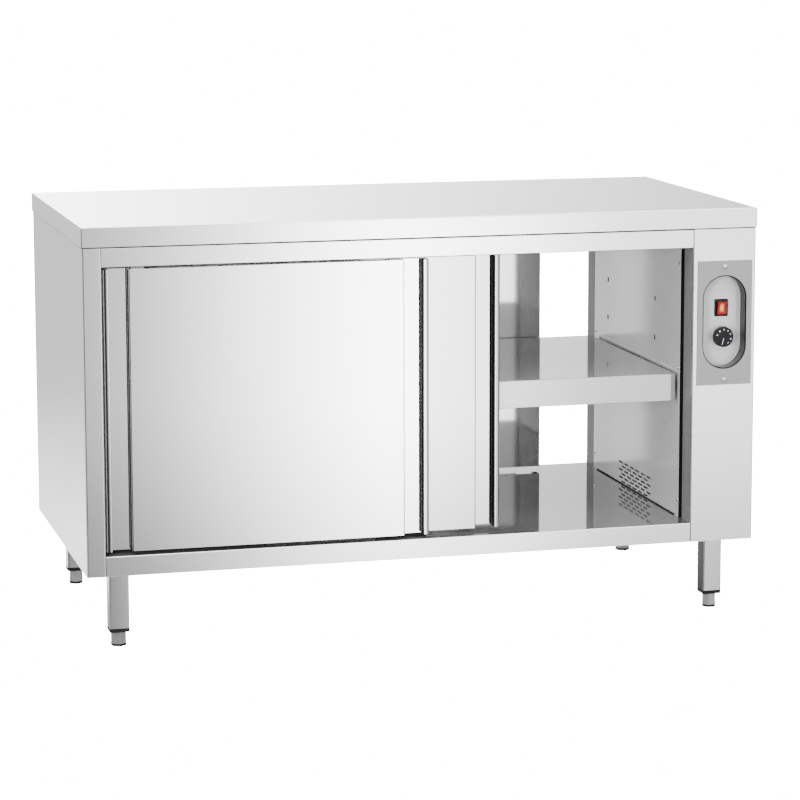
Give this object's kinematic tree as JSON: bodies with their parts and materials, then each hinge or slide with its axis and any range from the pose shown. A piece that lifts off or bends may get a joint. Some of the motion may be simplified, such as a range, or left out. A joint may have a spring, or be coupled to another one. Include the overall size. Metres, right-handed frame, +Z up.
{
  "type": "heated plate cupboard",
  "caption": "Stainless pass-through plate warming cupboard with worktop, sliding doors on both long sides, a lift-out shelf, a recessed thermostat and switch, and screw-out feet.",
  "frame": {"origin": "on the ground under the middle of the worktop", "axes": "+X to the right seen from the control side, along the length; +Y from the front to the rear; +Z up"},
  "size_m": [1.4, 0.7, 0.85],
  "materials": {
    "stainless_brushed": "fine satin stainless steel",
    "stainless_polished": "bright rolled stainless steel, almost a mirror",
    "sheet_steel": "zinc-plated sheet steel",
    "dark_steel": "dark oxidised or painted metal",
    "foot_steel": "bright steel hexagon on a black sole",
    "black_plastic": "fine matt black plastic",
    "red_plastic": "clear red plastic with a lamp behind",
    "nylon": "natural nylon",
    "core_board": "bare chipboard",
    "mineral_wool": "mineral wool"
  },
  "bodies": {
    "cabinet": {"worktop": "stainless_brushed", "worktop_core": "core_board", "ceiling_panel": "stainless_polished", "insulation_mats": "mineral_wool", "left_outer_panel": "stainless_brushed", "left_inner_panel": "stainless_polished", "right_outer_panel": "stainless_brushed", "right_inner_panel": "stainless_polished", "deck": "stainless_polished", "underside_panel": "sheet_steel", "front_top_rail": "stainless_brushed", "rear_top_rail": "stainless_brushed", "front_top_track": "sheet_steel", "rear_top_track": "sheet_steel", "front_floor_guide": "black_plastic", "rear_floor_guide": "black_plastic", "shelf_brackets": "sheet_steel", "front_left_leg": "stainless_brushed", "front_right_leg": "stainless_brushed", "rear_left_leg": "stainless_brushed", "rear_right_leg": "stainless_brushed", "leg_plugs": "black_plastic", "control_plate": "stainless_brushed", "switch_housing": "black_plastic", "thermostat_body": "dark_steel", "fan_motor": "dark_steel", "heater_housing": "sheet_steel", "heating_element": "dark_steel"},
    "front_left_door": {"front_left_door_skin": "stainless_brushed", "front_left_door_liner": "stainless_polished", "front_left_door_hangers": "sheet_steel"},
    "front_left_door_roller_a": {"front_left_door_roller_a": "nylon"},
    "front_left_door_roller_b": {"front_left_door_roller_b": "nylon"},
    "front_right_door": {"front_right_door_skin": "stainless_brushed", "front_right_door_liner": "stainless_polished", "front_right_door_hangers": "sheet_steel"},
    "front_right_door_roller_a": {"front_right_door_roller_a": "nylon"},
    "front_right_door_roller_b": {"front_right_door_roller_b": "nylon"},
    "rear_left_door": {"rear_left_door_skin": "stainless_brushed", "rear_left_door_liner": "stainless_polished", "rear_left_door_hangers": "sheet_steel"},
    "rear_left_door_roller_a": {"rear_left_door_roller_a": "nylon"},
    "rear_left_door_roller_b": {"rear_left_door_roller_b": "nylon"},
    "rear_right_door": {"rear_right_door_skin": "stainless_brushed", "rear_right_door_liner": "stainless_polished", "rear_right_door_hangers": "sheet_steel"},
    "rear_right_door_roller_a": {"rear_right_door_roller_a": "nylon"},
    "rear_right_door_roller_b": {"rear_right_door_roller_b": "nylon"},
    "mid_shelf": {"mid_shelf": "stainless_polished"},
    "thermostat_knob": {"thermostat_knob": "black_plastic"},
    "switch_rocker": {"switch_rocker": "red_plastic"},
    "fan_wheel": {"fan_wheel": "sheet_steel"},
    "front_left_foot": {"front_left_foot": "foot_steel"},
    "front_right_foot": {"front_right_foot": "foot_steel"},
    "rear_left_foot": {"rear_left_foot": "foot_steel"},
    "rear_right_foot": {"rear_right_foot": "foot_steel"}
  },
  "joints": [
    {"name": "front_left_door_slide", "type": "slide", "parent": "cabinet", "child": "front_left_door", "axis": [1, 0, 0], "range_m": [0, 0.5575]},
    {"name": "front_left_door_roller_a_spin", "type": "hinge", "parent": "front_left_door", "child": "front_left_door_roller_a", "pos_m": [-0.588, -0.339, 0.7867], "axis": [0, 1, 0], "range_deg": [-3600, 3600]},
    {"name": "front_left_door_roller_b_spin", "type": "hinge", "parent": "front_left_door", "child": "front_left_door_roller_b", "pos_m": [-0.069, -0.339, 0.7867], "axis": [0, 1, 0], "range_deg": [-3600, 3600]},
    {"name": "front_right_door_slide", "type": "slide", "parent": "cabinet", "child": "front_right_door", "axis": [1, 0, 0], "range_m": [-0.1575, 0.4]},
    {"name": "front_right_door_roller_a_spin", "type": "hinge", "parent": "front_right_door", "child": "front_right_door_roller_a", "pos_m": [-0.4305, -0.309, 0.7867], "axis": [0, 1, 0], "range_deg": [-3600, 3600]},
    {"name": "front_right_door_roller_b_spin", "type": "hinge", "parent": "front_right_door", "child": "front_right_door_roller_b", "pos_m": [0.0885, -0.309, 0.7867], "axis": [0, 1, 0], "range_deg": [-3600, 3600]},
    {"name": "rear_left_door_slide", "type": "slide", "parent": "cabinet", "child": "rear_left_door", "axis": [1, 0, 0], "range_m": [0, 0.5575]},
    {"name": "rear_left_door_roller_a_spin", "type": "hinge", "parent": "rear_left_door", "child": "rear_left_door_roller_a", "pos_m": [-0.069, 0.339, 0.7867], "axis": [0, 1, 0], "range_deg": [-3600, 3600]},
    {"name": "rear_left_door_roller_b_spin", "type": "hinge", "parent": "rear_left_door", "child": "rear_left_door_roller_b", "pos_m": [-0.588, 0.339, 0.7867], "axis": [0, 1, 0], "range_deg": [-3600, 3600]},
    {"name": "rear_right_door_slide", "type": "slide", "parent": "cabinet", "child": "rear_right_door", "axis": [1, 0, 0], "range_m": [-0.4285, 0.129]},
    {"name": "rear_right_door_roller_a_spin", "type": "hinge", "parent": "rear_right_door", "child": "rear_right_door_roller_a", "pos_m": [0.3595, 0.309, 0.7867], "axis": [0, 1, 0], "range_deg": [-3600, 3600]},
    {"name": "rear_right_door_roller_b_spin", "type": "hinge", "parent": "rear_right_door", "child": "rear_right_door_roller_b", "pos_m": [-0.1595, 0.309, 0.7867], "axis": [0, 1, 0], "range_deg": [-3600, 3600]},
    {"name": "mid_shelf_lift", "type": "slide", "parent": "cabinet", "child": "mid_shelf", "axis": [0, 0, 1], "range_m": [0, 0.06]},
    {"name": "thermostat_knob_turn", "type": "hinge", "parent": "cabinet", "child": "thermostat_knob", "pos_m": [0.6347, -0.318, 0.5812], "axis": [0, 1, 0], "range_deg": [-197, 73]},
    {"name": "switch_rocker_tip", "type": "hinge", "parent": "cabinet", "child": "switch_rocker", "pos_m": [0.634, -0.318, 0.6407], "axis": [1, 0, 0], "range_deg": [-14, 0]},
    {"name": "fan_wheel_spin", "type": "hinge", "parent": "cabinet", "child": "fan_wheel", "pos_m": [0.6355, -0.07, 0.226], "axis": [1, 0, 0], "continuous": true},
    {"name": "front_left_foot_screw_out", "type": "slide", "parent": "cabinet", "child": "front_left_foot", "axis": [0, 0, -1], "range_m": [0, 0.03]},
    {"name": "front_right_foot_screw_out", "type": "slide", "parent": "cabinet", "child": "front_right_foot", "axis": [0, 0, -1], "range_m": [0, 0.03]},
    {"name": "rear_left_foot_screw_out", "type": "slide", "parent": "cabinet", "child": "rear_left_foot", "axis": [0, 0, -1], "range_m": [0, 0.03]},
    {"name": "rear_right_foot_screw_out", "type": "slide", "parent": "cabinet", "child": "rear_right_foot", "axis": [0, 0, -1], "range_m": [0, 0.03]}
  ],
  "couplings": [
    {"joint": "front_left_door_roller_a_spin", "follows": "front_left_door_slide", "rad_per_m": 111.11},
    {"joint": "front_left_door_roller_b_spin", "follows": "front_left_door_slide", "rad_per_m": 111.11},
    {"joint": "front_right_door_roller_a_spin", "follows": "front_right_door_slide", "rad_per_m": 111.11},
    {"joint": "front_right_door_roller_b_spin", "follows": "front_right_door_slide", "rad_per_m": 111.11},
    {"joint": "rear_left_door_roller_a_spin", "follows": "rear_left_door_slide", "rad_per_m": 111.11},
    {"joint": "rear_left_door_roller_b_spin", "follows": "rear_left_door_slide", "rad_per_m": 111.11},
    {"joint": "rear_right_door_roller_a_spin", "follows": "rear_right_door_slide", "rad_per_m": 111.11},
    {"joint": "rear_right_door_roller_b_spin", "follows": "rear_right_door_slide", "rad_per_m": 111.11}
  ]
}
